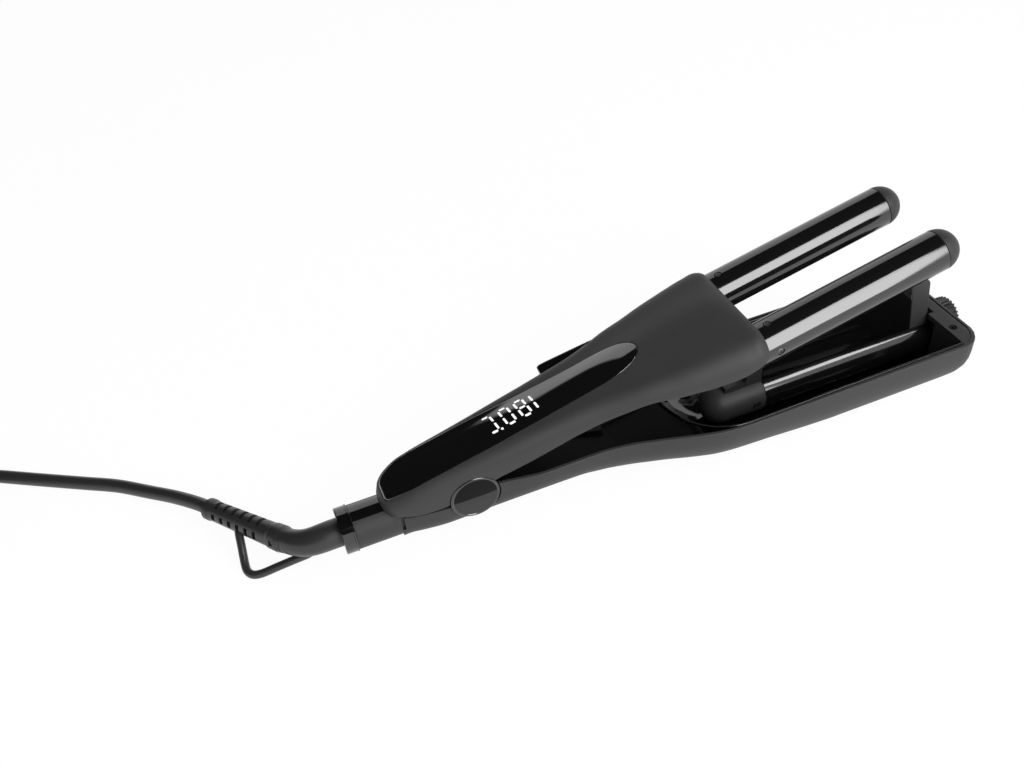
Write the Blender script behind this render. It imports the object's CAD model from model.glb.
"""Looks of a hair waver: an add-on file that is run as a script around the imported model.

Pieces are modelled in millimetres about the hinge axis, as the part's source is, and are then
set in the row frame in metres. +X runs from the hinge to the barrel tips and +Z is up.
"""
import math

import bmesh
import bpy
from bpy.props import FloatProperty, FloatVectorProperty, PointerProperty
from mathutils import Matrix, Vector


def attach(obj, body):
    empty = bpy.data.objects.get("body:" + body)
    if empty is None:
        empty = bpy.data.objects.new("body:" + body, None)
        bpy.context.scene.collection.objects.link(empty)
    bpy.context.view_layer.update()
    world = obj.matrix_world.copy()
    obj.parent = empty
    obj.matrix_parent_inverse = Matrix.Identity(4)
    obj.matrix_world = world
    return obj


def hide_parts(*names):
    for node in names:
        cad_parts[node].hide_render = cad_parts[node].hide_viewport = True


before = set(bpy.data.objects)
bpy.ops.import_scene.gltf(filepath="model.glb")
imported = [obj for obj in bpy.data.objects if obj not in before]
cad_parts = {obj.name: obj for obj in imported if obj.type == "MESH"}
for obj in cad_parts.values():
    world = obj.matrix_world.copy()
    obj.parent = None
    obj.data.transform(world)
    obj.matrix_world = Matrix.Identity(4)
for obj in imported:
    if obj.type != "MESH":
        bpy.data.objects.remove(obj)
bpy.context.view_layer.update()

bl_info = {
    "name": "Hair Waver",
    "version": (1, 0, 0),
    "blender": (4, 5, 0),
    "location": "3D View > Sidebar > Waver",
    "description": "Shells, barrels, liner, dial and cord of a triple-barrel hair waver",
    "category": "Object",
}

# ---------- the drawing's numbers, in millimetres about the hinge axis ----------
HINGE_H = 28.5
MID_X = 106.45
OPEN = math.radians(12.6)
TIP_X = 268.0
TAIL_X = 56.0
TAIL_R = 10.6
TAIL_Z = -8.9
COLLAR_L = 6.0
BACK_X = -TAIL_X - COLLAR_L
HEAD = 34.4
HANDLE = 19.6
RIM = 3.65
FLOOR = -HINGE_H
SHELL_WALL = 1.6
UPPER_WALL = 2.0
TOP = 20.0
FRONT = 146.5
BARREL_R = 10.0
BARREL_Y = 21.3
BARREL_W = 8.0
BARREL_SEAM = 242.0
BAR_Z = -13.0
BAR_START = 158.0
BAR_END = 260.0
NOSE_X = 136.0
FIN_X = 148.5
FIN_TOP = 26.0
FIN_HALF = 4.0
DIAL_Z = -6.5
DIAL_X = 268.3
DIAL_R = 9.6
DIAL_W = 6.6
DIAL_RIBS = 26
CAP_R = 12.1
EAR_Y = 14.7
EAR_R = CAP_R - 0.35
LINER_END = TIP_X - 11.6
BOWL_X = 134.0
BOWL_R = 31.55
LINER_WALL = 1.0
WINDOW_X = -37.0
WINDOW_L = 134.0
WINDOW_HALF = 11.2
LEVER_X = (54.0, 84.0)
LEVER_Z = (9.6, 15.4)
PIVOT = (80.5, 20.2)
ROD_X = 143.0
BARREL_START = 134.2
BARREL_BORE = 8.8
SPIGOT_R = 8.6
BARREL_SCREW_X = 152.0
BAR_SCREW_X = 152.7
TIP_SCREW_X = TIP_X - 7.8
TIP_SCREW_Y = 19.4
AXLE_START = 262.2
AXLE_R = 2.0
STEM_BORE = 6.96
TUBE_END = -33.5
SIDES = ((-1, "near"), (1, "far"))
LOFT_STEP = 2.4

PLACE = Matrix.Translation((-MID_X / 1000, 0, HINGE_H / 1000)) @ Matrix.Scale(0.001, 4)
ARM = PLACE @ Matrix.Rotation(-OPEN, 4, "Y")

LOWER_ROWS = [  # x, half width, top, bottom, top radius, bottom radius
    (-34.5, TAIL_R + 0.2, -2.7, TAIL_Z - TAIL_R, 0.5, TAIL_R - 2),
    (-30, 12, -2.7, -19.4, 0.5, 10.8),
    (-24, 13.3, -2.7, -19.2, 0.5, 11),
    (-12, EAR_Y + 0.1, -2.6, -18.8, 0.5, 11),
    (-1, EAR_Y + 0.3, -2.5, -18.4, 0.5, 11),
    (1, EAR_Y + 0.4, RIM, -18.2, 0.5, 11),
    (14, 16.5, RIM, -17, 0.6, 12),
    (22, HANDLE - 1.7, RIM, -15.6, 0.6, 12.4),
    (34, HANDLE, RIM, -14, 0.6, 13),
    (52, HANDLE, RIM, -14.2, 0.6, 13),
    (64, HANDLE + 0.2, RIM, -16, 0.6, 13.6),
    (72, HANDLE + 1.2, RIM, -17, 0.6, 14.2),
    (79, HANDLE + 2.4, RIM, -18, 0.6, 15),
    (87, 24.2, RIM, -19, 0.6, 16.4),
    (95, 26.5, RIM, -20, 0.6, 18),
    (103, HEAD - 5.4, RIM, -21.2, 0.6, 19.6),
    (111, HEAD - 3.1, RIM, -22.3, 0.6, 21),
    (119, HEAD - 1.2, RIM, -23.5, 0.6, 22.5),
    (127, HEAD - 0.2, RIM, -25.6, 0.6, 25.6),
    (135, HEAD, RIM, -26.4, 0.6, 26.2),
    (146, HEAD, RIM, -26.9, 0.6, 26.1),
    (160, HEAD, RIM, -27.4, 0.6, 25.3),
    (172, HEAD, RIM, FLOOR + 0.5, 0.6, 25),
    (184, HEAD, RIM, FLOOR, 0.6, 25),
    (TIP_X - 22, HEAD, RIM, FLOOR, 0.6, 25),
    (TIP_X - 12, HEAD, RIM, FLOOR + 0.3, 0.6, 25),
    (TIP_X - 8.5, HEAD - 0.5, RIM, FLOOR + 0.8, 0.6, 24.5),
    (TIP_X - 5.5, HEAD - 1.9, RIM, FLOOR + 1.6, 0.6, 23),
    (TIP_X - 3, HEAD - 4.2, RIM, FLOOR + 2.8, 0.6, 20.8),
    (TIP_X - 1.2, HEAD - 7, RIM - 0.1, FLOOR + 4.4, 0.6, 18),
    (TIP_X, HEAD - 10.6, RIM - 0.4, FLOOR + 7, 0.6, 14.5)]
UPPER_ROWS = [
    (-40, 4, 11, 7, 1.9, 1.9),
    (-39.4, 6, 12.6, 6.6, 2.9, 2.6),
    (-37, 9.6, 15.3, 6, 4.4, 2.4),
    (-32, 12.6, 17.6, 5.4, 5.6, 2),
    (-24, 14.6, TOP - 0.7, 3.7, 6.4, 1.6),
    (-12, 15.4, TOP, 2, 7, 1.4),
    (0, 15.9, TOP, 2.2, 7, 1.4),
    (13, 16.6, TOP, 4.2, 7, 1.6),
    (26, 17.5, TOP, 4.6, 7, 2),
    (44, HANDLE - 0.9, TOP, 6.2, 7, 2.4),
    (54, HANDLE + 0.1, TOP, 7.6, 7.4, 2.6),
    (65, HANDLE + 1.3, TOP, 8.6, 8, 2.6),
    (77, 23, TOP + 0.1, 10.2, 8.2, 1.1),
    (88, 25.4, TOP + 0.2, 11, 7.8, 0.8),
    (101, HEAD - 6, TOP + 0.3, 8.4, 9.6, 1.6),
    (110, HEAD - 4.2, TOP + 0.5, 6.7, 10, 2.6),
    (119, HEAD - 2.6, TOP + 0.8, 5.6, 11, 2.6),
    (128, HEAD - 1.3, TOP + 1, 5, 11.6, 2.6),
    (136, HEAD - 0.3, TOP + 1, 6, 12, 2.4),
    (FRONT - 5, HEAD - 0.3, TOP + 0.95, 7.6, 11.2, 1.6),
    (FRONT - 3, HEAD - 0.9, TOP + 0.8, 8.2, 10.8, 1.3),
    (FRONT - 1, HEAD - 2.3, TOP + 0.3, 8.8, 10, 1),
    (FRONT, HEAD - 3.6, TOP - 0.7, 9.6, 8.4, 0.8)]
ROOM_FRONT = FRONT - 2.6
BOWL_STEPS = (0.994, 0.972, 0.928, 0.859, 0.765, 0.646, 0.502, 0.332, 0.157)


# ---------- curves and sections ----------
def slopes(xs, ys):
    """Slopes of a curve through the points that never overshoots them."""
    steps = [xs[i + 1] - xs[i] for i in range(len(xs) - 1)]
    rises = [(ys[i + 1] - ys[i]) / steps[i] for i in range(len(steps))]
    out = [rises[0]]
    for i in range(1, len(steps)):
        a, b = rises[i - 1], rises[i]
        if a * b <= 0:
            out.append(0.0)
        else:
            w1, w2 = 2 * steps[i] + steps[i - 1], steps[i] + 2 * steps[i - 1]
            out.append((w1 + w2) / (w1 / a + w2 / b))
    return out + [rises[-1]]


class Track:
    """Rows read as one smooth function of x."""

    def __init__(self, rows):
        self.xs = [r[0] for r in rows]
        self.columns = [[r[k] for r in rows] for k in range(1, len(rows[0]))]
        self.slopes = [slopes(self.xs, c) for c in self.columns]

    def at(self, x):
        xs = self.xs
        i = max(0, min(len(xs) - 2, sum(1 for v in xs if v <= x) - 1))
        h = xs[i + 1] - xs[i]
        t = max(0.0, min(1.0, (x - xs[i]) / h))
        h00, h10 = (1 + 2 * t) * (1 - t) ** 2, t * (1 - t) ** 2
        h01, h11 = t * t * (3 - 2 * t), t * t * (t - 1)
        return [h00 * c[i] + h10 * h * s[i] + h01 * c[i + 1] + h11 * h * s[i + 1]
                for c, s in zip(self.columns, self.slopes)]

    def stations(self, step):
        out = [self.xs[0]]
        for a, b in zip(self.xs, self.xs[1:]):
            n = max(1, math.ceil((b - a) / step))
            out += [a + (b - a) * k / n for k in range(1, n + 1)]
        return out


def corner(cy, cz, r, first, n):
    return [(cy + r * math.cos(math.radians(first + 90 * i / n)),
             cz + r * math.sin(math.radians(first + 90 * i / n))) for i in range(n + 1)]


CORNER_STEPS = 8
TOP_STEPS = 9


def section(hw, zt, zb, rt, rb, crown=0.0):
    """One rounded section as (y, z) points, with a crowned top."""
    reach = hw - rt
    top = []
    for k in range(1, TOP_STEPS + 1):
        s = 1 - 2 * k / (TOP_STEPS + 1)
        top.append((reach * s, zt + crown * (1 - s * s) ** 2))
    n = CORNER_STEPS
    return (corner(reach, zt - rt, rt, 0, n) + top + corner(-reach, zt - rt, rt, 90, n)
            + corner(rb - hw, zb + rb, rb, 180, n) + corner(hw - rb, zb + rb, rb, 270, n))


def ease(t):
    t = max(0.0, min(1.0, t))
    return t * t * (3 - 2 * t)


def crown_at(x, crown):
    """The crown is low along the handle, rises over the head and fades out at both ends."""
    share = 0.4 * ease((x + 40) / 14) + 0.6 * ease((x - 45) / 50)
    return crown * share * math.sqrt(max(0.0, min(1.0, (FRONT - x) / 9)))


UPPER = Track(UPPER_ROWS)
LOWER = Track(LOWER_ROWS)


def top_of_arm(x, y, crown):
    """Height of the upper arm's outer face above the hinge plane."""
    hw, zt, zb, rt, rb = UPPER.at(x)
    reach = hw - rt
    if abs(y) <= reach:
        return zt + crown_at(x, crown) * (1 - (y / reach) ** 2) ** 2
    return zt - rt + math.sqrt(max(0.0, rt * rt - (abs(y) - reach) ** 2))


# ---------- modelling by operators ----------
def select_nothing():
    """Object mode, with nothing selected."""
    if bpy.context.mode != "OBJECT":
        bpy.ops.object.mode_set(mode="OBJECT")
    bpy.ops.object.select_all(action="DESELECT")


def alone(piece):
    """Selects one object and makes it active."""
    select_nothing()
    piece.select_set(True)
    bpy.context.view_layer.objects.active = piece
    return piece


def applied(piece, matrix):
    """Moves a piece by a matrix and bakes the move into its mesh."""
    piece.matrix_world = matrix @ piece.matrix_world
    alone(piece)
    bpy.ops.object.transform_apply(location=True, rotation=True, scale=True)
    return piece


def edit_all():
    """Edit mode, with the whole mesh selected."""
    bpy.ops.object.mode_set(mode="EDIT")
    bpy.ops.mesh.select_all(action="SELECT")


def primitive(kind, **how):
    """Adds one mesh primitive with nothing else selected."""
    select_nothing()
    getattr(bpy.ops.mesh, "primitive_" + kind + "_add")(**how)
    return bpy.context.object


def skin(rings, angle=32.0):
    """A closed skin: a disc is added at the first ring and extruded from ring to ring."""
    piece = primitive("circle", vertices=len(rings[0]), radius=1, fill_type="NGON")
    edit_all()
    mesh = bmesh.from_edit_mesh(piece.data)
    last = {}
    for i, (v, p) in enumerate(zip(mesh.verts, rings[0])):
        v.co = p
        last[tuple(v.co)] = i
    for ring in rings[1:]:
        bpy.ops.mesh.extrude_region_move()
        mesh = bmesh.from_edit_mesh(piece.data)
        placed = {}
        for v in mesh.verts:
            if v.select:
                i = last[tuple(v.co)]
                v.co = ring[i]
                placed[tuple(v.co)] = i
        last = placed
    bmesh.update_edit_mesh(piece.data)
    bpy.ops.mesh.select_all(action="SELECT")
    bpy.ops.mesh.normals_make_consistent(inside=False)
    bpy.ops.object.mode_set(mode="OBJECT")
    return shade(piece, angle)


def loft(track, step, low=-math.inf, high=math.inf, crown=None, change=None):
    """A skin through a track's sections; change turns a row into another one."""
    rings = []
    for x in track.stations(step):
        if low - 1e-6 <= x <= high + 1e-6:
            x2, row = change(x, track.at(x)) if change else (x, track.at(x))
            rise = 0.0 if crown is None else crown_at(x, crown)
            rings.append([(x2, y, z) for y, z in section(*row, crown=rise)])
    return skin(rings)


def shade(piece, angle=32.0):
    """Smooth shading that stays sharp over the angle, in degrees."""
    alone(piece)
    bpy.ops.object.shade_smooth_by_angle(angle=math.radians(angle))
    return piece


def lathe(profile, origin=(0, 0, 0), axis="X", steps=96, angle=32.0):
    """Turns (along, radius) points about an axis, as on a lathe."""
    turn = {"X": Matrix.Identity(4), "Y": Matrix.Rotation(math.pi / 2, 4, "Z"),
            "Z": Matrix.Rotation(-math.pi / 2, 4, "Y")}[axis]
    piece = primitive("plane", size=1)
    edit_all()
    bpy.ops.mesh.merge(type="CENTER")
    mesh = bmesh.from_edit_mesh(piece.data)
    for v in mesh.verts:
        v.co = (profile[0][0], 0, profile[0][1])
        v.select = True
    bmesh.update_edit_mesh(piece.data)
    for a, b in zip(profile, profile[1:]):
        bpy.ops.mesh.extrude_vertices_move(
            TRANSFORM_OT_translate={"value": (b[0] - a[0], 0, b[1] - a[1])})
    bpy.ops.mesh.select_all(action="SELECT")
    bpy.ops.mesh.spin(steps=steps, angle=2 * math.pi, center=(0, 0, 0), axis=(1, 0, 0))
    bpy.ops.mesh.select_all(action="SELECT")
    bpy.ops.mesh.remove_doubles(threshold=0.0005)
    bpy.ops.mesh.normals_make_consistent(inside=False)
    bpy.ops.object.mode_set(mode="OBJECT")
    return shade(applied(piece, Matrix.Translation(origin) @ turn), angle)


def rod(origin, axis, r, length, steps=64):
    """A plain round cutter."""
    return lathe([(0, 0), (0, r), (length, r), (length, 0)], origin, axis, steps)


def block(low, high, bevel=0.0, segments=3):
    """A box between two corners, with its edges rounded."""
    centre = [(a + b) / 2 for a, b in zip(low, high)]
    piece = primitive("cube", size=1, location=centre,
                      scale=[b - a for a, b in zip(low, high)])
    bpy.ops.object.transform_apply(location=True, rotation=True, scale=True)
    if bevel:
        edit_all()
        bpy.ops.mesh.bevel(offset=bevel, segments=segments, affect="EDGES")
        bpy.ops.object.mode_set(mode="OBJECT")
    return shade(piece)


def prism(points, low, high, up="Z"):
    """A flat outline drawn out between two heights; up is the axis it is drawn along."""
    put = {"Z": lambda a, b, c: (a, b, c), "Y": lambda a, b, c: (a, c, b),
           "X": lambda a, b, c: (c, a, b)}[up]
    return skin([[put(a, b, low) for a, b in points], [put(a, b, high) for a, b in points]])


def carve(piece, cutters, how="DIFFERENCE"):
    """Cuts pieces out of another one and removes the cutters."""
    for cutter in cutters:
        tool = piece.modifiers.new("cut", "BOOLEAN")
        tool.operation = how
        tool.solver = "EXACT"
        tool.object = cutter
        alone(piece)
        bpy.ops.object.modifier_apply(modifier=tool.name)
        bpy.data.objects.remove(cutter, do_unlink=True)
    return piece


def soften(piece, width, segments=2, angle=35.0):
    """Rounds the sharp edges with a bevel that is applied."""
    tool = piece.modifiers.new("edge", "BEVEL")
    tool.width = width
    tool.segments = segments
    tool.limit_method = "ANGLE"
    tool.angle_limit = math.radians(angle)
    tool.use_clamp_overlap = True
    alone(piece)
    bpy.ops.object.modifier_apply(modifier=tool.name)
    return piece


def copy_of(piece, matrix):
    """A copy with its own mesh, moved by a matrix."""
    alone(piece)
    bpy.ops.object.duplicate(linked=False)
    return applied(bpy.context.object, matrix)


def joined(pieces):
    """Joins pieces into one object."""
    alone(pieces[0])
    for p in pieces[1:]:
        p.select_set(True)
    if len(pieces) > 1:
        bpy.ops.object.join()
    return bpy.context.object


def settle(piece, name, place, body, slot, stands_for, angle=32.0, coated=None):
    """Names a piece, sets it in the row frame, gives it its finish and lets it ride."""
    shade(piece, angle)
    piece.name = name
    piece.data.name = name
    applied(piece, place)
    piece.data.materials.clear()
    piece.data.materials.append(coated or finish(slot))
    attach(piece, body)
    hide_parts(*stands_for)
    return piece


# ---------- finishes ----------
LOOKS = {}


def look(name, colour, rough, rough_change=0.05, mottle=0.06, mottle_scale=90.0, grain=0.0,
         grain_scale=2600.0, metallic=0.0, specular=0.5, coat=0.0, ior=1.5, emission=0.0):
    """A finish whose colour, roughness and surface vary a little, in object coordinates."""
    if name in LOOKS:
        return LOOKS[name]
    made = bpy.data.materials.new(name)
    made.use_nodes = True
    tree = made.node_tree
    shader = tree.nodes["Principled BSDF"]
    place = tree.nodes.new("ShaderNodeTexCoord").outputs["Object"]
    cloud = node(tree, "TexNoise", Vector=place, Scale=mottle_scale, Detail=4)
    tint = tree.nodes.new("ShaderNodeMix")
    tint.data_type = "RGBA"
    tint.inputs["A"].default_value = [c * (1 - mottle) for c in colour] + [1]
    tint.inputs["B"].default_value = [min(1, c * (1 + mottle)) for c in colour] + [1]
    tree.links.new(cloud.outputs["Fac"], tint.inputs["Factor"])
    tree.links.new(tint.outputs["Result"], shader.inputs["Base Color"])
    wear = node(tree, "TexNoise", Vector=place, Scale=mottle_scale * 0.35, Detail=6)
    span = tree.nodes.new("ShaderNodeMapRange")
    span.inputs["To Min"].default_value = max(0.02, rough - rough_change)
    span.inputs["To Max"].default_value = min(1, rough + rough_change)
    tree.links.new(wear.outputs["Fac"], span.inputs["Value"])
    tree.links.new(span.outputs["Result"], shader.inputs["Roughness"])
    if grain:
        fine = node(tree, "TexNoise", Vector=place, Scale=grain_scale, Detail=2)
        bump = node(tree, "Bump", Strength=grain, Distance=0.0001, Height=fine.outputs["Fac"])
        tree.links.new(bump.outputs["Normal"], shader.inputs["Normal"])
    shader.inputs["Metallic"].default_value = metallic
    shader.inputs["Specular IOR Level"].default_value = specular
    shader.inputs["IOR"].default_value = ior
    shader.inputs["Coat Weight"].default_value = coat
    shader.inputs["Coat Roughness"].default_value = 0.04
    if emission:
        shader.inputs["Emission Color"].default_value = list(colour) + [1]
        shader.inputs["Emission Strength"].default_value = emission
    LOOKS[name] = made
    return made


FINISHES = {  # name, colour or its setting, roughness and its change, mottle and scale, grain and scale
    "matte_shell": ("soft_touch_shell", "shell", 0.5, 0.05, 0.05, 120, 0.3, 3200, {"specular": 0.26}),
    "dark_matte": ("dark_moulding", (0.022, 0.022, 0.024), 0.42, 0.06, 0.08, 140, 0.3, 2600,
                   {"specular": 0.4}),
    "gloss_black": ("gloss_moulding", "gloss", 0.06, 0.02, 0.1, 60, 0.02, 900, {"specular": 1.0}),
    "window_black": ("window_black", "gloss", 0.045, 0.01, 0.1, 60, 0.01, 900,
                     {"specular": 1.0, "coat": 0.9}),
    "barrel_coat": ("barrel_coating", "barrel", 0.1, 0.02, 0.08, 70, 0.03, 1500, {"specular": 1.0}),
    "steel": ("screw_steel", (0.16, 0.16, 0.165), 0.3, 0.08, 0.08, 300, 0.15, 4000, {"metallic": 1.0}),
    "black_steel": ("black_steel", (0.02, 0.02, 0.022), 0.35, 0.08, 0.08, 300, 0.15, 4000, {"metallic": 1.0}),
    "pin_metal": ("pin_brass", (0.62, 0.6, 0.55), 0.25, 0.06, 0.06, 200, 0.1, 3000, {"metallic": 1.0}),
    "heater": ("heater_metal", (0.35, 0.35, 0.36), 0.4, 0.1, 0.1, 200, 0.2, 1800, {"metallic": 1.0}),
    "board": ("board_lacquer", (0.02, 0.11, 0.05), 0.3, 0.06, 0.1, 400, 0.1, 3000, {}),
    "cord_rubber": ("cord_rubber", "cord", 0.34, 0.06, 0.07, 160, 0.25, 2200, {}),
    "hinge_cap": ("hinge_cap_black", (0.008, 0.008, 0.0085), 0.1, 0.03, 0.08, 120, 0.02, 2600, {}),
    "display_light": ("display_light", (0.9, 0.9, 0.9), 0.5, 0.02, 0.04, 200, 0.05, 2000, {"emission": 0.6})}
CAP_SPLIT = (0.0282, 0.0288)


def finish(kind):
    """One finish of the table; a colour given by name comes from the settings."""
    name, colour, *numbers, more = FINISHES[kind]
    if isinstance(colour, str):
        colour = tuple(getattr(bpy.context.scene.waver_colours, colour))
    return look(name, colour, *numbers, **more)


def cap_black():
    """Satin black that is duller above the split's height than below it."""
    if FINISHES["hinge_cap"][0] in LOOKS:
        return finish("hinge_cap")
    made = finish("hinge_cap")
    tree = made.node_tree
    place = tree.nodes.new("ShaderNodeTexCoord")
    split = node(tree, "SeparateXYZ", n0=place.outputs["Object"])
    gloss = node(tree, "MapRange", n0=split.outputs["Z"], n1=CAP_SPLIT[0], n2=CAP_SPLIT[1], n3=0.5, n4=0.08)
    tree.links.new(gloss.outputs[0], tree.nodes["Principled BSDF"].inputs["Specular IOR Level"])
    return made


CAD_LOOKS = {
    "steel": ("case_screws", "hinge_pin", "hinge_springs", "guide_rod", "depth_cam"),
    "gloss_black": ("lower_deck",),
    "dark_matte": ("supply_lead", "lead_clamp", "fin_bracket", "upper_cover", "display_module",
                   "barrel_bulkhead", "swivel_stem"),
    "heater": ("bar_heater", "barrel_heaters"),
    "board": ("circuit_board",)}


def dress_cad_nodes():
    """Gives the CAD nodes that stay their finishes."""
    for kind, names in CAD_LOOKS.items():
        for name in names:
            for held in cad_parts[name].material_slots:
                held.material = finish(kind)


# ---------- camera and stage ----------
CAMERA_AT = (-0.18165, -0.3160, 0.3743)
CAMERA_YAW, CAMERA_PITCH, CAMERA_ROLL = 0.316, 0.735, -0.106
CAMERA_LENS = 35.58


def aim(yaw, pitch, roll):
    """Camera axes for a heading, a downward pitch and a roll, in radians."""
    ahead = Vector((math.sin(yaw) * math.cos(pitch), math.cos(yaw) * math.cos(pitch), -math.sin(pitch)))
    right = Vector((math.cos(yaw), -math.sin(yaw), 0))
    up = right.cross(ahead)
    c, s = math.cos(roll), math.sin(roll)
    return Matrix((c * right + s * up, c * up - s * right, -ahead)).transposed()


def add_camera():
    bpy.ops.object.camera_add(location=CAMERA_AT)
    camera = bpy.context.object
    camera.name = "camera"
    camera.rotation_euler = aim(CAMERA_YAW, CAMERA_PITCH, CAMERA_ROLL).to_euler()
    camera.data.lens = CAMERA_LENS
    camera.data.sensor_width = 36
    camera.data.clip_start = 0.01
    camera.data.clip_end = 20
    bpy.context.scene.camera = camera


def lamp(name, at, width, height, power):
    """An area light that faces the origin and isn't seen by the camera."""
    bpy.ops.object.light_add(type="AREA", location=at)
    light = bpy.context.object
    light.name = name
    light.data.shape = "RECTANGLE"
    light.data.size = width
    light.data.size_y = height
    light.data.energy = power
    light.visible_camera = False
    light.rotation_euler = (-at).to_track_quat("-Z", "Y").to_euler()
    return light


def from_angles(azimuth, elevation, distance):
    """A place seen from the origin, with angles in degrees."""
    a, e = math.radians(azimuth), math.radians(elevation)
    return distance * Vector((math.cos(e) * math.cos(a), math.cos(e) * math.sin(a), math.sin(e)))


def node(tree, kind, operation=None, **inputs):
    """Adds a shader node; n0, n1 ... are its sockets by number and other keys by name."""
    made = tree.nodes.new("ShaderNode" + kind)
    if operation:
        made.operation = operation
    for key, value in inputs.items():
        socket = made.inputs[int(key[1:])] if key[0] == "n" and key[1:].isdigit() else made.inputs[key]
        if hasattr(value, "is_output"):
            tree.links.new(value, socket)
        else:
            socket.default_value = value
    return made


def make_world():
    """White behind everything; mirrors see white walls, far right and near left, and dark above."""
    world = bpy.data.worlds.new("studio")
    bpy.context.scene.world = world
    world.use_nodes = True
    tree = world.node_tree
    fill = tree.nodes["Background"]
    fill.inputs["Color"].default_value = (1, 1, 1, 1)
    fill.inputs["Strength"].default_value = 0.35
    white = node(tree, "Background", Color=(1, 1, 1, 1), Strength=1.0)
    place = tree.nodes.new("ShaderNodeTexCoord")
    split = node(tree, "SeparateXYZ", n0=place.outputs["Generated"])
    x, y, z = (split.outputs[c] for c in "XYZ")

    def lit(a, ka, b, kb, edge, soft=0.012):
        """1 where ka * a + kb * b lies over the edge, with a soft border."""
        one = node(tree, "Math", "MULTIPLY", n0=a, n1=ka)
        two = node(tree, "Math", "MULTIPLY_ADD", n0=b, n1=kb, n2=one.outputs[0])
        return node(tree, "MapRange", n0=two.outputs[0], n1=edge - soft, n2=edge + soft).outputs[0]
    wall = node(tree, "Math", "MULTIPLY", n0=lit(x, 1, y, 0.078, 0), n1=lit(z, -1, x, -0.28, -0.81))
    left = node(tree, "Math", "MULTIPLY", n0=lit(x, -1, y, -0.28, 0), n1=lit(z, -1, y, -0.2, -0.26))
    both = node(tree, "Math", "MAXIMUM", n0=wall.outputs[0], n1=left.outputs[0])
    level = node(tree, "MapRange", n0=both.outputs[0], n3=0.02, n4=1.0)
    mirrored = node(tree, "Background", Color=(1, 1, 1, 1), Strength=level.outputs[0])
    path = tree.nodes.new("ShaderNodeLightPath")
    clear = node(tree, "Math", "MAXIMUM", n0=path.outputs["Is Glossy Ray"],
                 n1=path.outputs["Is Transmission Ray"])
    first = node(tree, "MixShader", n0=clear.outputs[0], n1=fill.outputs[0], n2=mirrored.outputs[0])
    last = node(tree, "MixShader", n0=path.outputs["Is Camera Ray"], n1=first.outputs[0],
                n2=white.outputs[0])
    tree.links.new(last.outputs[0], tree.nodes["World Output"].inputs["Surface"])


def add_floor():
    """White paper that keeps the tool's shadow."""
    floor = primitive("plane", size=9, location=(0, 0, -0.0003))
    bpy.ops.object.transform_apply(location=True)
    floor.name = "floor"
    paper = bpy.data.materials.new("white_paper")
    paper.use_nodes = True
    tree = paper.node_tree
    shader = tree.nodes["Principled BSDF"]
    shader.inputs["Base Color"].default_value = (0.86, 0.86, 0.86, 1)
    shader.inputs["Roughness"].default_value = 0.8
    shader.inputs["Specular IOR Level"].default_value = 0.1
    glow = node(tree, "Emission", Strength=1.05)
    mix = node(tree, "MixShader", n0=0.9, n1=shader.outputs[0], n2=glow.outputs[0])
    tree.links.new(mix.outputs[0], tree.nodes["Material Output"].inputs["Surface"])
    floor.data.materials.append(paper)


LAMPS = (  # name, azimuth, elevation, distance, width, height, power, what doesn't see it
    ("key", -70, 29, 0.95, 0.39, 0.99, 4.6, None),
    ("card", -70, 29, 0.9405, 0.37, 0.97, 2.6, "visible_diffuse"),
    ("card_core", -70, 29, 0.9405, 0.37, 0.4, 1.7, "visible_diffuse"),
    ("card_strip", -40, 45, 0.9405, 0.25, 0.17, 1.0, "visible_diffuse"),
    ("fill", -60, 45, 1.4, 1.0, 1.0, 5, "visible_glossy"))


def set_stage():
    """World, floor and lamps."""
    bpy.context.scene.view_settings.view_transform = "Standard"
    make_world()
    add_floor()
    for name, azimuth, elevation, distance, width, height, power, blind in LAMPS:
        light = lamp(name, from_angles(azimuth, elevation, distance), width, height, power)
        if blind:
            setattr(light, blind, False)


# ---------- the cord's route ----------
CORD_R = 3.5
CORD_Z = CORD_R + 0.1
ELBOW = [(BACK_X, 0, 19.6), (-66, 0, 19.6), (-70, 0, 19.5), (-74, 0.3, 19.2), (-77.5, 1.2, 18.8),
         (-80.5, 2.8, 18.4), (-83, 4.9, 17.9), (-85.2, 7.4, 17.3)]
RELIEF = (Vector((-87.2, 10.1, 16.8)), Vector((-116, 50, 11)))
LOOP = [(-76, -1, 14.5), (-79, 0, 12.4), (-85, 2.2, 9.4), (-93, 4.4, 6.2), (-101, 6.4, 3.2),
        (-105, 8.2, 2.3), (-107, 11, 2.3), (-107.4, 14, 3), (-107, 18, 5.4), (-106.4, 22, 8.4),
        (-105.8, 27, 11.5), (-105.2, 30.5, 12.6), (-104.6, 33, 13.2)]
ROUTE = [tuple(RELIEF[1]), (-121, 57, 10), (-131, 68.5, 8), (-143, 80.5, 5.6), (-158, 94, 4),
         (-175, 105, CORD_Z), (-196, 118, CORD_Z), (-216, 130.5, CORD_Z), (-236, 142.5, CORD_Z),
         (-250, 151.5, CORD_Z)]
COIL_IN = 147.0
COIL_R = 51.5
COIL_TURNS = 6.25
COIL_PITCH = 7.95
COIL_LAYER = 7.9
PLUG_H = 14.0
PIN_Y = 9.3
SLOTS = 6
SLOT_FIRST = 0.27
SLOT_PITCH = 0.1155
LOOP_R = 2.0


def heading(degrees):
    a = math.radians(degrees)
    return Vector((math.cos(a), math.sin(a), 0))


COIL_FIRST = Vector(ROUTE[-1]) + 7 * heading(COIL_IN)
COIL_MID = COIL_FIRST + COIL_R * heading(COIL_IN + 90)
TAIL_DIR = heading(COIL_IN + 360 * COIL_TURNS)


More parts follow.
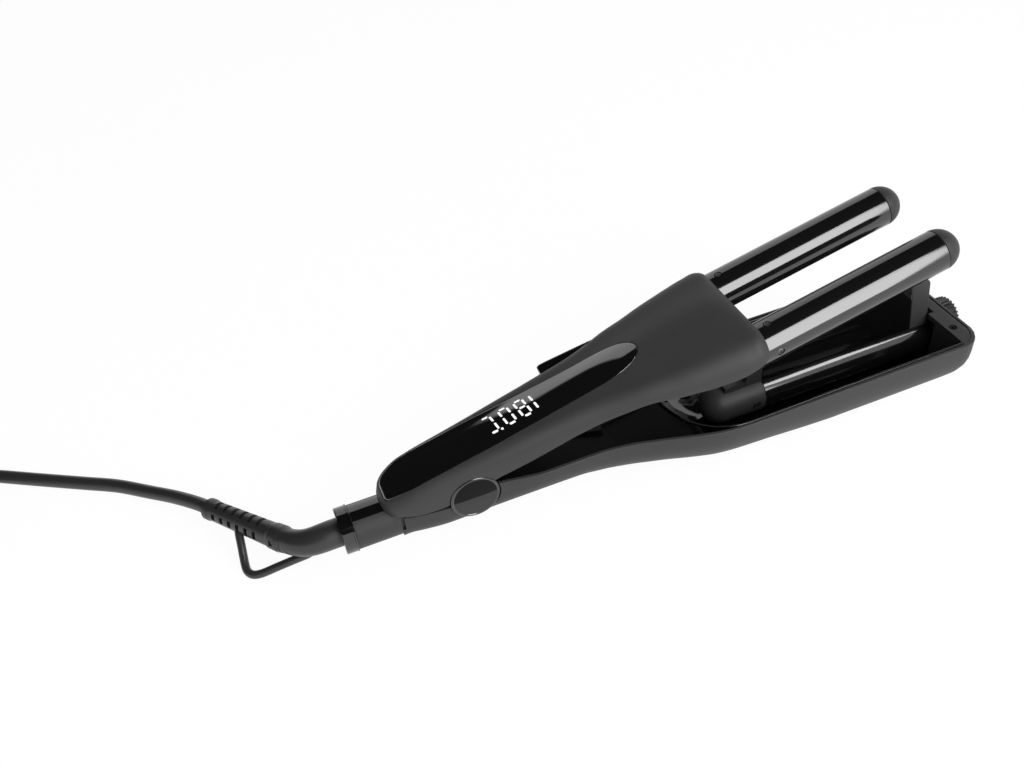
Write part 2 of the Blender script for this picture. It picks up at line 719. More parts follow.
def coil_point(t):
    rho = COIL_R - COIL_PITCH * (COIL_TURNS / 2 - abs(t - COIL_TURNS / 2))
    lift = COIL_LAYER * ease((t - COIL_TURNS / 2 + 0.25) / 0.5)
    return COIL_MID + rho * heading(COIL_IN - 90 + 360 * t) + Vector((0, 0, lift))


def cord_route():
    """Points of the free cord, X and Y from the hinge and Z from the table, in millimetres."""
    turns = [coil_point(i / 24) for i in range(int(24 * COIL_TURNS) + 1)]
    last = turns[-1] + 7 * TAIL_DIR
    drop = CORD_Z + COIL_LAYER - PLUG_H / 2
    tail = [last + s * TAIL_DIR - Vector((0, 0, drop * k)) for s, k in
            ((0, 0), (8, 0.06), (16, 0.35), (24, 0.7), (32, 0.94), (38, 1), (45, 1))]
    return [Vector(p) for p in ROUTE] + turns + tail


def on_table(p):
    """A point of the route in metres, in the row frame."""
    return Vector(((p[0] - MID_X) / 1000, p[1] / 1000, p[2] / 1000))


def smooth_path(points, step):
    """A Catmull-Rom line through the points, sampled evenly enough for a clean tube."""
    out = []
    for i in range(len(points) - 1):
        p0 = points[max(i - 1, 0)]
        p1, p2 = points[i], points[i + 1]
        p3 = points[min(i + 2, len(points) - 1)]
        n = max(1, math.ceil((p2 - p1).length / step))
        for k in range(n):
            t = k / n
            out.append(0.5 * ((2 * p1) + (p2 - p0) * t + (2 * p0 - 5 * p1 + 4 * p2 - p3) * t * t
                              + (3 * p1 - p0 - 3 * p2 + p3) * t ** 3))
    return out + [points[-1]]


def sweep(path, radii, n=24):
    """A closed tube along a path, skinned ring by ring."""
    rings = []
    for i, p in enumerate(path):
        d = (path[min(i + 1, len(path) - 1)] - path[max(i - 1, 0)]).normalized()
        s = d.cross(Vector((0, 0, 1))).normalized()
        u = s.cross(d)
        rings.append([p + radii[i] * (math.cos(2 * math.pi * k / n) * s + math.sin(2 * math.pi * k / n) * u)
                      for k in range(n)])
    return skin([[tuple(q) for q in ring] for ring in rings])


TABLE = Matrix.Translation((-MID_X / 1000, 0, 0)) @ Matrix.Scale(0.001, 4)


def make_relief():
    """Rubber elbow, slotted strain relief and hanging loop, in one moulding."""
    a, b = RELIEF
    elbow = smooth_path([Vector(p) for p in ELBOW] + [a + (b - a) * t for t in (0.0, 0.06)], 1.2)
    length = [0.0]
    for p, q in zip(elbow, elbow[1:]):
        length.append(length[-1] + (q - p).length)
    radii = [6.85 - 1.15 * ease((s - 4) / (length[-1] - 4)) for s in length]
    body = sweep(elbow, radii, 32)
    shares = [-0.06 + 1.06 * k / 60 for k in range(61)]
    line = [a + (b - a) * t for t in shares]

    def sleeve_r(t):
        ring = 0.45 * (ease((t + 0.03) / 0.02) - ease((t - 0.1) / 0.02)) + 0.5 * ease((t - 0.92) / 0.02)
        return 6.0 - 1.1 * max(0.0, t) + ring
    sleeve = sweep(line, [sleeve_r(t) for t in shares], 40)
    d = (b - a).normalized()
    side = d.cross(Vector((-0.2, -0.62, 0.76))).normalized()
    face = d.cross(side).normalized()
    turn = Matrix((d, side, face)).transposed().to_4x4()

    def slot_at(t, low, high):
        slot = block((-1.15, low, -8), (1.15, high, 8), 0.3, 2)
        return applied(slot, Matrix.Translation(a + (b - a) * t) @ turn)
    cutters = []
    for k in range(SLOTS):
        t = SLOT_FIRST + SLOT_PITCH * k
        cutters += [slot_at(t, 1.2, 8), slot_at(t, -5.0 + 0.9 * t, -1.6)]
    cutters.append(slot_at(0.035, -4.6, -2.4))
    carve(sleeve, cutters)
    core = applied(block((0, -3.5, -0.7), ((b - a).length - 0.6, 3.5, 0.7), 0.5, 3),
                   Matrix.Translation(a) @ turn)
    path = smooth_path([Vector(p) for p in LOOP], 1.0)
    loop = sweep(path, [LOOP_R] * len(path), 20)
    return settle(joined([body, sleeve, core, loop]), "strain_relief_moulding", TABLE, "cord_swivel",
                  "cord_rubber", ("strain_relief",))


def make_plug():
    """Flat two-pin plug with a ribbed boot, lying by the coil."""
    last = cord_route()[-1]
    at = Matrix.Translation(last) @ Matrix.Rotation(math.radians(COIL_IN + 360 * COIL_TURNS), 4, "Z")
    boot = [(0, 0), (0, 4.2), (0.4, 4.4)]
    for k in range(5):
        x = 1.2 + 2.4 * k
        r = 4.45 + 0.08 * x
        boot += [(x, r), (x + 0.2, r - 0.7), (x + 1.0, r - 0.7), (x + 1.2, r + 0.05)]
    boot += [(14, 5.6), (16, 5.6), (16, 0)]
    neck = lathe(boot)
    half = 15.0
    flank = [(12, 6), (15, 8.6), (18.4, 12.6), (21, 14.4), (24, half), (46.4, half), (48, half - 1.6)]
    plan = [(x, -y) for x, y in flank] + flank[::-1]

    def ring(z, less):
        return [(x + (less if x < 30 else -less), math.copysign(max(abs(y) - less, 2.0), y), z)
                for x, y in plan]
    h = PLUG_H / 2
    edge = [(h, 2.2), (h - 0.35, 1.0), (h - 1.0, 0.35), (h - 2.2, 0)]
    case = skin([ring(-z, less) for z, less in edge] + [ring(z, less) for z, less in edge[::-1]], 40)
    carve(case, [block((26, -9, h - 0.5), (40, 9, h + 2), 0.4, 2)])
    plug = joined([case, neck])
    settle(plug, "mains_plug", TABLE @ at, "cord_swivel", "dark_matte", ("plug_body",))
    profile = [(47.2, 0), (47.2, 1.5), (48.5, 1.5), (48.5, 2), (66.2, 2), (67.1, 1.7), (67.5, 1.1), (67.5, 0)]
    pins = [lathe(profile, (0, s * PIN_Y, 0), "X", 40) for s in (-1, 1)]
    metal = settle(joined(pins), "mains_pins", TABLE @ at, "cord_swivel", "pin_metal", ("plug_pins",))
    return plug, metal


def make_cord():
    """The free cord: one curve from the strain relief through the coil to the plug."""
    plug, metal = make_plug()
    points = [on_table(p) for p in smooth_path(cord_route(), 4.0)]
    select_nothing()
    line = bpy.data.curves.new("cord_line", "CURVE")
    line.dimensions = "3D"
    spline = line.splines.new("POLY")
    spline.points.add(len(points) - 1)
    for held, p in zip(spline.points, points):
        held.co = (*p, 1)
    line.bevel_depth = CORD_R / 1000
    line.bevel_resolution = 5
    line.use_fill_caps = True
    cord = bpy.data.objects.new("mains_cord", line)
    bpy.context.scene.collection.objects.link(cord)
    line.materials.append(finish("cord_rubber"))
    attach(cord, "cord_swivel")
    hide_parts("cord", "cord_coil", "cord_tail")


# ---------- upper arm ----------
def crown_mm():
    return 1000 * bpy.context.scene.waver_sizes.crown


def drop_half(t):
    """Half width of the window at a share of its length."""
    if t < 0.78:
        body = 0.93 + 0.07 * math.cos(math.radians(180 * (t - 0.25) / 0.6))
    else:
        body = 0.86 * max(0.0, 1 - ((t - 0.78) / 0.22) ** 3.4) ** 0.5
    rear = 0.62 + 0.38 * math.sin(math.radians(90 * t / 0.12)) if t < 0.12 else 1.0
    return WINDOW_HALF * body * rear


def drop_outline(grow=0.0):
    """Outline of the teardrop window, anticlockwise, with rounded rear corners."""
    ts = [0.0, 0.004, 0.01, 0.02, 0.035, 0.05, 0.065, 0.08, 0.1, 0.12]
    ts += [0.12 + 0.03 * k for k in range(1, 23)]
    ts += [0.80, 0.825, 0.85, 0.875, 0.9, 0.92, 0.94, 0.955, 0.97, 0.98, 0.988, 0.994, 0.998]
    half = []
    for t in ts:
        y = drop_half(t)
        if t < 0.02:
            y -= 2.2 * (1 - math.sqrt(max(0.0, 1 - (1 - t / 0.02) ** 2)))
        x = WINDOW_X + t * WINDOW_L
        if t > 0.9:
            x += grow * (t - 0.9) / 0.1
        if t < 0.02:
            x -= grow
        half.append((x, y + grow))
    nose = (WINDOW_X + WINDOW_L + grow, 0.0)
    return [(x, -y) for x, y in half] + [nose] + [(x, y) for x, y in reversed(half)]


def tail_cut():
    """Room in the upper arm for the tail tube, at rest."""
    piece = rod((-TAIL_X, 0, TAIL_Z), "X", TAIL_R + 0.5, TAIL_X - 20, 96)
    return applied(piece, Matrix.Rotation(OPEN, 4, "Y"))


def make_upper_shell():
    """Soft-touch housing of the upper arm, hollow, with its window and barrel openings."""
    crown = crown_mm()
    shell = loft(UPPER, LOFT_STEP, crown=crown)

    def hollow(x, row):
        hw, zt, zb, rt, rb = row
        return x, [hw - UPPER_WALL, zt - UPPER_WALL, zb - 8, max(rt - UPPER_WALL, 0.5), 0.4]
    carve(shell, [loft(UPPER, LOFT_STEP, low=-36, high=ROOM_FRONT, crown=crown, change=hollow)])
    window = prism(drop_outline(0.15), 9, 30)
    slot = block((LEVER_X[0] - 0.3, 16, LEVER_Z[0] - 0.3), (LEVER_X[1] + 0.3, 30, LEVER_Z[1] + 0.3))
    holes = [rod((131, s * BARREL_Y, BARREL_W), "X", BARREL_R + 0.25, 40, 128) for s in (-1, 1)]
    caps = rod((0, -30, 0), "Y", CAP_R + 0.3, 60, 128)
    carve(shell, [caps, *holes, tail_cut(), window, slot])
    post = rod((*PIVOT, LEVER_Z[0]), "Z", 1.2, 9, 32)
    settle(joined([shell, post]), "upper_shell", ARM, "upper_arm", "matte_shell", ("upper_housing",))


WINDOW_ROLL = ((0.0, 2.0), (0.0, 0.55), (0.1, 0.28), (0.3, 0.1), (0.6, 0.02), (1.0, 0.0))


def make_window():
    """Glossy teardrop window with a rolled edge, following the arm's crowned top."""
    crown = crown_mm()
    outline = drop_outline()
    mid = WINDOW_X + WINDOW_L * 0.45

    def ring(shrink, drop, scale=1.0):
        out = []
        for x, y in outline:
            d = Vector((x - mid, y))
            d.length = max(0.2, d.length - shrink)
            px, py = mid + d.x * scale, d.y * scale
            out.append((px, py, top_of_arm(px, py, crown) - drop))
        return out
    rings = [ring(shrink, drop) for shrink, drop in WINDOW_ROLL]
    rings += [ring(1.0, 0.0, k) for k in (0.92, 0.84, 0.76, 0.68, 0.6, 0.5, 0.4, 0.3, 0.2, 0.1, 0.03)]
    settle(skin(rings, 40), "teardrop_window", ARM, "upper_arm", "gloss_black", ("display_window",), 40,
           finish("window_black"))


DIGIT_LEFT = {"1": 47.6, "8": 39.7, "0": 31.8, "C": 22.95}
DIGIT_MID = 0.65
DIGIT_W = 4.4
DIGIT_HALF = 5.35
DIGIT_SLANT = 0.12
SEG = 1.05
SEGMENTS = {"1": "bc", "8": "abcdefg", "0": "abcdef", "C": "adef"}


def make_digits():
    """Seven-segment reading, read from the far side, laid on the window's top."""
    crown = crown_mm()
    half, w, g = DIGIT_HALF, DIGIT_W, 0.78
    lines = {"a": (g, -half, w - g, -half), "b": (w, g - half, w, -g), "c": (w, g, w, half - g),
             "d": (g, half, w - g, half), "e": (0, g, 0, half - g), "f": (0, g - half, 0, -g),
             "g": (g, 0, w - g, 0)}
    bars = []

    def bar(left, x0, y0, x1, y1):
        cx, cy = (x0 + x1) / 2, (y0 + y1) / 2
        reach, r, e = (abs(x1 - x0) + abs(y1 - y0)) / 2, SEG / 2, 0.28
        shape = [(-reach, e - r), (e - reach, -r), (reach - e, -r), (reach, e - r), (reach, r - e),
                 (reach - e, r), (e - reach, r), (-reach, r - e)]
        points = []
        for a, b in shape:
            x, y = (cx + a, cy + b) if abs(x1 - x0) > abs(y1 - y0) else (cx + b, cy + a)
            points.append((left - x - DIGIT_SLANT * y, DIGIT_MID + y))
        bars.append(skin([[(x, y, top_of_arm(x, y, crown) + lift) for x, y in points]
                          for lift in (-0.3, 0.14)]))

    for mark, left in DIGIT_LEFT.items():
        for name in SEGMENTS[mark]:
            bar(left, *lines[name])
    bar(DIGIT_LEFT["C"] + 1.75, 0, -half - 0.3, 1.1, -half - 0.3)
    settle(joined(bars), "display_reading", ARM, "upper_arm", "display_light", ("display_digits",))


def make_lever():
    """Side lever: a wedge that is thick at the rear and fades into the side."""
    x0, x1 = LEVER_X
    stations = [(x0, 25.2), (x0 + 0.5, 25.9), (x0 + 1.6, 26.4), (x0 + 5, 26.4), (62, 26.25), (70, 25.85),
                (78, 25.4), (x1 - 0.8, 25.05), (x1, 24.7)]
    rings = []
    z0, z1 = LEVER_Z
    e = 0.9
    for x, out in stations:
        inner = 18.8 if x < 75 else 18.0
        rings.append([(x, inner, z0), (x, out - e, z0), (x, out - 0.3 * e, z0 + 0.3 * e), (x, out, z0 + e),
                      (x, out, z1 - e), (x, out - 0.3 * e, z1 - 0.3 * e), (x, out - e, z1),
                      (x, inner, z1 - 0.22 * (out - e - inner))])
    wedge = skin(rings)
    carve(wedge, [rod((*PIVOT, 0), "Z", 1.26, 30, 32)])
    settle(wedge, "side_release_lever", ARM, "lever", "gloss_black", ("side_lever",))


def screw_head(r, h):
    """Pan head with a cross recess, standing on z = 0 and rising to h."""
    head = lathe([(-0.2, 0), (-0.2, r - 0.05), (h * 0.35, r), (h * 0.75, r * 0.9), (h, r * 0.62), (h, 0)],
                 (0, 0, 0), "Z", 40)
    w, reach = r * 0.17, r * 0.58
    cross = [(c * x - s * y, s * x + c * y) for c, s in ((1, 0), (0, 1), (-1, 0), (0, -1))
             for x, y in ((reach, -w), (reach, w), (w, w))]
    return carve(head, [prism(cross, h * 0.35, h + 1)])


def heads_at(model, places):
    """Copies of a screw head at each matrix, as one object; the model goes."""
    heads = [copy_of(model, place) for place in places]
    bpy.data.objects.remove(model, do_unlink=True)
    return joined(heads)


def make_barrels():
    """The two heated barrels of the upper arm, their matte tips and their screws."""
    start, seam, bore = BARREL_START, BARREL_SEAM, BARREL_BORE
    places = []
    for side, word in SIDES:
        y = side * BARREL_Y
        tube = lathe([(start, bore), (start, BARREL_R), (seam - 0.25, BARREL_R), (seam, BARREL_R - 0.25),
                      (seam, bore), (start, bore)], (0, y, BARREL_W), "X", 160)
        carve(tube, [rod((BARREL_SCREW_X, y, BARREL_W), "Z", 1.85, 12, 40),
                     rod((BARREL_SCREW_X, y, BARREL_W), "Y", 1.85, 12 * side, 40)])
        settle(tube, "barrel_tube_" + word, ARM, "upper_arm", "barrel_coat", ("barrel_" + word,))
        profile = [(-8, 0), (-8, SPIGOT_R), (0.02, SPIGOT_R), (0.02, BARREL_R - 0.3), (0.3, BARREL_R)]
        profile += [(BARREL_R * math.sin(a), BARREL_R * math.cos(a))
                    for a in [math.radians(3 * k) for k in range(1, 30)]] + [(BARREL_R, 0)]
        dome = lathe(profile, (seam, y, BARREL_W), "X", 128, 40)
        settle(dome, "cool_tip_" + word, ARM, "upper_arm", "matte_shell", ("barrel_tip_" + word,), 40)
        places += [Matrix.Translation((BARREL_SCREW_X, y, BARREL_W + 8.9)),
                   Matrix.Translation((BARREL_SCREW_X, y + side * 8.9, BARREL_W))
                   @ Matrix.Rotation(-side * math.pi / 2, 4, "X")]
    settle(heads_at(screw_head(1.75, 0.9), places), "barrel_screw_heads", ARM, "upper_arm", "steel",
           ("barrel_screws",))


# ---------- lower arm ----------
def shell_room(wall, rise):
    """A change of rows that leaves a wall below, beside and in front, and moves the top by rise."""
    def room(x, row):
        hw, zt, zb, rt, rb = row
        x2 = x - SHELL_WALL if x > TIP_X - 12 else x
        return x2, [hw - wall, zt + rise, zb + wall, 0.4, max(rb - wall, 0.4)]
    return room


def make_lower_shell():
    """Soft-touch shell of the tray, lower handle and tail tube."""
    shell = loft(LOWER, LOFT_STEP)
    tube = lathe([(-TAIL_X, 0), (-TAIL_X, TAIL_R - 0.3), (-TAIL_X + 0.3, TAIL_R), (TUBE_END, TAIL_R),
                  (TUBE_END, 0)], (0, 0, TAIL_Z), "X", 96)
    carve(shell, [tube], "UNION")

    inside = loft(LOWER, LOFT_STEP, low=-33, high=TIP_X, change=shell_room(SHELL_WALL, 4))
    cuts = [inside, rod((-TAIL_X - 1, 0, TAIL_Z), "X", TAIL_R - 2, 30, 64)]
    for s in (-1, 1):
        cuts.append(rod((0, 7.9 * s, 0), "Y", EAR_R + 0.08, 9 * s, 128))
        cuts.append(rod((0, (EAR_Y - 0.1) * s, 0), "Y", CAP_R + 0.2, 9 * s, 128))
    cuts.append(rod((TIP_X - 4, 0, DIAL_Z), "X", 2.6, 5))
    cuts += [rod((x, 0, -15), "Z", 1.5, 4, 32) for x in (38, 48)]
    cuts += [block((-34.9, s * 11.8 - 2.3, -10.5), (-33.4, s * 11.8 + 2.3, 0)) for s in (-1, 1)]
    carve(shell, cuts)
    settle(shell, "lower_arm_shell", PLACE, "lower_arm", "matte_shell", ("lower_shell",))
    shell.data.materials.append(finish("gloss_black"))  # the inlay along the tail tube's top
    rear, up = (TUBE_END + 0.1 - MID_X) / 1000, math.cos(math.radians(31))
    for face in shell.data.polygons:
        if face.center.x < rear and face.normal.z > up and face.center.z > (HINGE_H - 3) / 1000:
            face.material_index = 1


def liner_rows():
    """Inner sections of the liner, from the bowl's rear to its open end."""
    rows = []
    for s in BOWL_STEPS:
        x = BOWL_X - s * BOWL_R
        hw = math.sqrt(BOWL_R ** 2 - (BOWL_X - x) ** 2)
        zb = RIM - 27 * math.sqrt(1 - ((BOWL_X - x) / (BOWL_R + 0.6)) ** 2)
        rows.append((x, hw, RIM - 0.1, zb, 0.4, min(hw - 0.3, RIM - zb - 0.8)))
    for x, less, zb, rb in ((BOWL_X + 2, 0.05, -23.5, 23.4), (146, 0.1, -23.7, 23.4), (160, 0.2, -24.2, 23.2),
                            (176, 0.4, FLOOR + 3.4, 23), (LINER_END, 0.6, FLOOR + 3.2, 23)):
        rows.append((x, BOWL_R - less, RIM - 0.1, zb, 0.4, rb))
    return rows


def make_liner():
    """Glossy liner of the tray, with its round bowl behind the centre bar's nose."""
    rows = liner_rows()
    outer = [(r[0] - (LINER_WALL if i == 0 else 0), r[1] + LINER_WALL, r[2], r[3] - LINER_WALL, r[4],
              r[5] + LINER_WALL) for i, r in enumerate(rows)]
    inner = [(r[0] + (1 if i == len(rows) - 1 else 0), r[1], r[2] + 2, r[3], r[4], r[5])
             for i, r in enumerate(rows)]
    body = loft(Track(outer), 1.5)
    carve(body, [loft(Track(inner), 1.5), rod((ROD_X, 0, FLOOR), "Z", 5.1, 12, 48)])
    settle(body, "glossy_liner", PLACE, "lower_arm", "gloss_black", ("tray_liner",))


def make_tip_block():
    """Matte block at the tray's tip, with the bar's pocket and its two screws."""
    body = loft(LOWER, 2.0, low=TIP_X - 40, high=TIP_X, change=shell_room(SHELL_WALL + 0.2, -0.12))
    x0 = LINER_END + 0.1
    carve(body, [block((x0, -50, FLOOR), (TIP_X - 2.2, 50, 20))], "INTERSECT")
    cuts = [block((x0 - 1, -11, FLOOR + 4), (TIP_X - 4, 11, RIM - 2.75)),
            block((x0 - 1, -5, -5), (BAR_END, 5, 7)),
            rod((TIP_X - 8, 0, DIAL_Z), "X", AXLE_R + 0.06, 10, 48)]
    for s in (-1, 1):
        cuts += [rod((TIP_SCREW_X, TIP_SCREW_Y * s, RIM - 1.2), "Z", 2.1, 4, 48),
                 rod((TIP_SCREW_X, TIP_SCREW_Y * s, RIM - 9), "Z", 1.02, 9, 32)]
    carve(body, cuts)
    settle(body, "tip_block", PLACE, "lower_arm", "matte_shell", ("end_block",))
    places = [Matrix.Translation((TIP_SCREW_X, TIP_SCREW_Y * s, RIM - 1.2)) for s in (-1, 1)]
    settle(heads_at(screw_head(1.9, 0.8), places), "tip_screws", PLACE, "lower_arm", "steel",
           ("end_screws",), coated=finish("black_steel"))


def make_centre_bar():
    """Centre bar: matte sleeve with a round nose, glossy tube and ring at the tip."""
    r, start, end = BARREL_R, BAR_START, BAR_END
    nose = [(NOSE_X - r * math.cos(math.radians(3 * k)), r * math.sin(math.radians(3 * k)))
            for k in range(31)]
    sleeve = lathe(nose + [(start - 0.25, r), (start, r - 0.25), (start, SPIGOT_R), (start + 8, SPIGOT_R),
                           (start + 8, 0)], (0, 0, BAR_Z), "X", 128, 40)
    carve(sleeve, [rod((ROD_X, 0, FLOOR), "Z", 3.06, HINGE_H - 7.6, 48),
                   rod((BAR_SCREW_X, -12, BAR_Z), "Y", 2.0, 3.2, 40)])
    settle(sleeve, "bar_nose_sleeve", PLACE, "centre_bar", "matte_shell", ("bar_sleeve",), 40)
    low, bore = start + 0.05, BARREL_BORE
    tube = lathe([(low, bore), (low, r - 0.2), (start + 0.25, r), (end - 0.2, r), (end, r - 0.2), (end, bore),
                  (low, bore)], (0, 0, BAR_Z), "X", 160)
    settle(tube, "centre_barrel", PLACE, "centre_bar", "barrel_coat", ("bar_tube",))
    ring = lathe([(end - 8, 0), (end - 8, SPIGOT_R), (end + 0.02, SPIGOT_R), (end + 0.02, 9.6),
                  (end + 0.25, 9.8), (end + 1.5, 9.8), (end + 1.8, 9.5), (end + 1.8, 0)],
                 (0, 0, BAR_Z), "X", 96)
    pin = rod((end + 1, 0, DIAL_Z - 8), "X", 0.8, 2.4, 32)
    settle(joined([ring, pin]), "bar_ring", PLACE, "centre_bar", "dark_matte", ("bar_end_ring",))
    seat = Matrix.Translation((BAR_SCREW_X, -9.1, BAR_Z)) @ Matrix.Rotation(math.pi / 2, 4, "X")
    settle(heads_at(screw_head(1.8, 0.9), [seat]), "bar_screw_head", PLACE, "centre_bar", "steel",
           ("bar_screw",))


def make_fin():
    """The upright fin: glossy plate between a dark rear plate and a matte tip strip."""
    low, high, strip, start = BAR_END - 0.6, BAR_END - 6.0, 10.8, BAR_START + 0.1
    shapes = (
        ("fin_gloss_plate", "gloss_black", "fin_plate",
         [(start, BAR_Z), (low - strip - 0.1, BAR_Z), (high - strip - 0.1, FIN_TOP), (start, FIN_TOP)]),
        ("fin_tip_strip", "matte_shell", "fin_tip",
         [(low - strip, BAR_Z), (low, BAR_Z), (high + 0.4, FIN_TOP - 3), (high - 0.1, FIN_TOP - 1.6),
          (high - 1.0, FIN_TOP - 0.6), (high - 2.6, FIN_TOP), (high - strip, FIN_TOP)]),
        ("fin_rear_plate", "dark_matte", "fin_rear",
         [(FIN_X, BAR_Z), (BAR_START, BAR_Z), (BAR_START, FIN_TOP), (FIN_X + 2, FIN_TOP),
          (FIN_X + 0.6, FIN_TOP - 0.6), (FIN_X, FIN_TOP - 2)]))
    for name, slot, stands_for, outline in shapes:
        plate = soften(prism(outline, -FIN_HALF, FIN_HALF, "Y"), 0.5, 3)
        carve(plate, [rod((FIN_X - 1, 0, BAR_Z), "X", BARREL_R + 0.02, 130, 128)])
        settle(plate, name, PLACE, "centre_bar", slot, (stands_for,))


def make_dial():
    """Ribbed depth dial with its axle."""
    rib = ((-0.36, 0.95), (-0.2, 0.3), (-0.08, 0), (0.08, 0), (0.2, 0.3), (0.36, 0.95))
    outline = []
    for k in range(DIAL_RIBS):
        for part, less in rib:
            a = 2 * math.pi * (k + part) / DIAL_RIBS
            outline.append(((DIAL_R - less) * math.cos(a), (DIAL_R - less) * math.sin(a)))

    def ring(x, less):
        return [(x, y * (1 - less / DIAL_R), DIAL_Z + z * (1 - less / DIAL_R)) for y, z in outline]
    x0, x1 = DIAL_X, DIAL_X + DIAL_W
    wheel = skin([ring(x0, 0.7), ring(x0 + 0.25, 0.2), ring(x0 + 0.6, 0), ring(x1 - 0.6, 0),
                  ring(x1 - 0.25, 0.2), ring(x1, 0.7), ring(x1, 2.4), ring(x1 - 0.4, 2.8)], 38)
    axle = rod((AXLE_START, 0, DIAL_Z), "X", AXLE_R, DIAL_X - AXLE_START + 1, 48)
    settle(joined([wheel, axle]), "ribbed_dial", PLACE, "dial", "dark_matte", ("depth_dial",), 38)


def make_hinge_caps():
    """Round hinge caps with a raised rim and a slightly dished face."""
    r = CAP_R
    profile = [(0, 0), (0, r - 0.15), (0.15, r), (0.6, r), (1.0, r - 0.12), (1.3, r - 0.4),
               (1.42, r - 0.8), (1.3, r - 1.15), (1.05, r - 1.35), (1.0, r - 1.5), (1.0, r - 1.7),
               (1.3, r - 5), (1.4, 3), (1.4, 0)]
    for side, word in SIDES:
        cap = lathe([(a * side, b) for a, b in profile], (0, side * EAR_Y, 0), "Y", 128, 40)
        settle(cap, "hinge_disc_" + word, PLACE, "lower_arm", "gloss_black", ("hinge_cap_" + word,), 40,
               cap_black())
        cap.data.materials.append(finish("gloss_black"))  # the raised rim
        for face in cap.data.polygons:
            out = math.hypot(face.center.x + MID_X / 1000, face.center.z - HINGE_H / 1000)
            face.material_index = int(out > (r - 1.6) / 1000)


def make_collar():
    """Glossy collar at the end of the tail tube."""
    r = TAIL_R + 0.5
    x0, x1 = BACK_X, -TAIL_X
    ring = lathe([(x0, STEM_BORE), (x0, r - 0.5), (x0 + 0.15, r - 0.15), (x0 + 0.5, r), (x0 + 0.6, r),
                  (x1 - 1.0, r), (x1 - 0.9, r), (x1 - 0.75, r + 0.3), (x1 - 0.15, r + 0.3), (x1, r + 0.15),
                  (x1, r - 0.4), (x1, 8.58), (-53, 8.58), (-53, STEM_BORE), (x0, STEM_BORE)],
                 (0, 0, TAIL_Z), "X", 128, 40)
    settle(ring, "tail_ring", PLACE, "lower_arm", "gloss_black", ("tail_collar",), 24)


# ---------- settings, operators and panel ----------
class WaverSizes(bpy.types.PropertyGroup):
    """Sizes that the panel shows"""
    crown: FloatProperty(name="Crown", description="Rise of the upper arm's top along its middle",
                         default=0.0028, min=0, max=0.004, precision=4, unit="LENGTH")


class WaverColours(bpy.types.PropertyGroup):
    """Colours that the panel shows"""
    shell: FloatVectorProperty(name="Shell", description="Colour of the soft-touch shells", subtype="COLOR",
                               size=3, min=0, max=1, default=(0.042, 0.042, 0.044))
    gloss: FloatVectorProperty(name="Gloss", description="Colour of the glossy mouldings", subtype="COLOR",
                               size=3, min=0, max=1, default=(0.004, 0.0035, 0.004))
    barrel: FloatVectorProperty(name="Barrels", description="Colour of the barrels' coating", subtype="COLOR",
                                size=3, min=0, max=1, default=(0.006, 0.006, 0.0065))
    cord: FloatVectorProperty(name="Cord", description="Colour of the cord's rubber", subtype="COLOR",
                              size=3, min=0, max=1, default=(0.03, 0.03, 0.032))


class WAVER_OT_stage(bpy.types.Operator):
    """Camera, floor, world and lamps"""
    bl_idname = "waver.stage"
    bl_label = "Stage"

    def execute(self, context):
        add_camera()
        set_stage()
        return {"FINISHED"}


class WAVER_OT_cord(bpy.types.Operator):
    """Free cord with its coil, plug and pins"""
    bl_idname = "waver.cord"
    bl_label = "Cord and plug"

    def execute(self, context):
        make_cord()
        return {"FINISHED"}


class WAVER_OT_relief(bpy.types.Operator):
    """Strain relief with its hanging loop"""
    bl_idname = "waver.relief"
    bl_label = "Strain relief"

    def execute(self, context):
        make_relief()
        return {"FINISHED"}


class WAVER_OT_upper_shell(bpy.types.Operator):
    """Housing of the upper arm"""
    bl_idname = "waver.upper_shell"
    bl_label = "Upper shell"

    def execute(self, context):
        make_upper_shell()
        return {"FINISHED"}


class WAVER_OT_window(bpy.types.Operator):
    """Teardrop window and its reading"""
    bl_idname = "waver.window"
    bl_label = "Window and digits"

    def execute(self, context):
        make_window()
        make_digits()
        return {"FINISHED"}


class WAVER_OT_lever(bpy.types.Operator):
    """Side lever"""
    bl_idname = "waver.lever"
    bl_label = "Side lever"

    def execute(self, context):
        make_lever()
        return {"FINISHED"}


class WAVER_OT_barrels(bpy.types.Operator):
    """Upper barrels with tips and screws"""
    bl_idname = "waver.barrels"
    bl_label = "Barrels"

    def execute(self, context):
        make_barrels()
        return {"FINISHED"}


class WAVER_OT_lower_shell(bpy.types.Operator):
    """Shell of the tray and lower handle"""
    bl_idname = "waver.lower_shell"
    bl_label = "Lower shell"

    def execute(self, context):
        make_lower_shell()
        return {"FINISHED"}


class WAVER_OT_liner(bpy.types.Operator):
    """Glossy liner and the block at the tip"""
    bl_idname = "waver.liner"
    bl_label = "Liner and tip block"

    def execute(self, context):
        make_liner()
        make_tip_block()
        return {"FINISHED"}


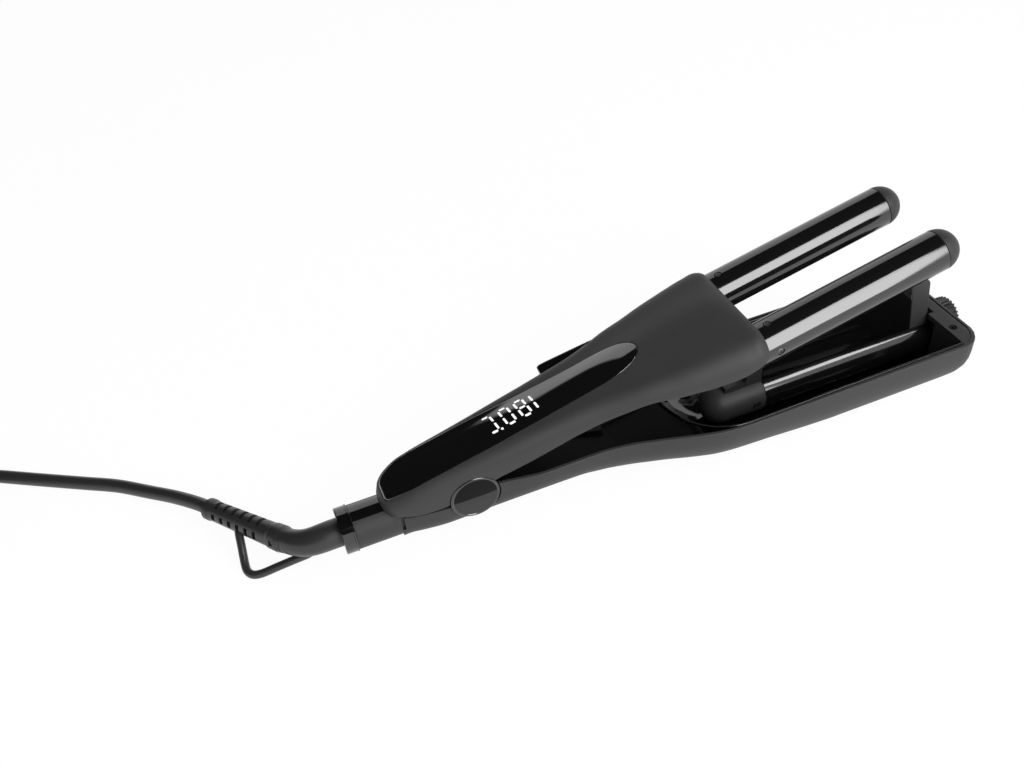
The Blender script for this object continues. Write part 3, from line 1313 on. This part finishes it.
class WAVER_OT_bar(bpy.types.Operator):
    """Centre bar and its fin"""
    bl_idname = "waver.bar"
    bl_label = "Centre bar"

    def execute(self, context):
        make_centre_bar()
        make_fin()
        return {"FINISHED"}


class WAVER_OT_round_parts(bpy.types.Operator):
    """Dial, hinge caps and tail collar"""
    bl_idname = "waver.round_parts"
    bl_label = "Dial, caps and collar"

    def execute(self, context):
        make_dial()
        make_hinge_caps()
        make_collar()
        return {"FINISHED"}


class WAVER_OT_finishes(bpy.types.Operator):
    """Finishes of the CAD nodes that stay"""
    bl_idname = "waver.finishes"
    bl_label = "CAD finishes"

    def execute(self, context):
        dress_cad_nodes()
        return {"FINISHED"}


STEPS = (WAVER_OT_stage, WAVER_OT_cord, WAVER_OT_relief, WAVER_OT_upper_shell, WAVER_OT_window,
         WAVER_OT_lever, WAVER_OT_barrels, WAVER_OT_lower_shell, WAVER_OT_liner, WAVER_OT_bar,
         WAVER_OT_round_parts, WAVER_OT_finishes)


class WAVER_PT_panel(bpy.types.Panel):
    """Lists the steps in order"""
    bl_label = "Hair Waver"
    bl_idname = "WAVER_PT_panel"
    bl_space_type = "VIEW_3D"
    bl_region_type = "UI"
    bl_category = "Waver"

    def draw(self, context):
        column = self.layout.column()
        column.prop(context.scene.waver_sizes, "crown")
        for name in ("shell", "gloss", "barrel", "cord"):
            column.prop(context.scene.waver_colours, name)
        for step in STEPS:
            column.operator(step.bl_idname)


CLASSES = (WaverSizes, WaverColours, *STEPS, WAVER_PT_panel)


def register():
    for made in CLASSES:
        bpy.utils.register_class(made)
    bpy.types.Scene.waver_sizes = PointerProperty(type=WaverSizes)
    bpy.types.Scene.waver_colours = PointerProperty(type=WaverColours)


def unregister():
    del bpy.types.Scene.waver_colours
    del bpy.types.Scene.waver_sizes
    for made in reversed(CLASSES):
        bpy.utils.unregister_class(made)


def main():
    register()
    for step in STEPS:
        group, name = step.bl_idname.split(".")
        getattr(getattr(bpy.ops, group), name)()


if __name__ == "__main__":
    main()
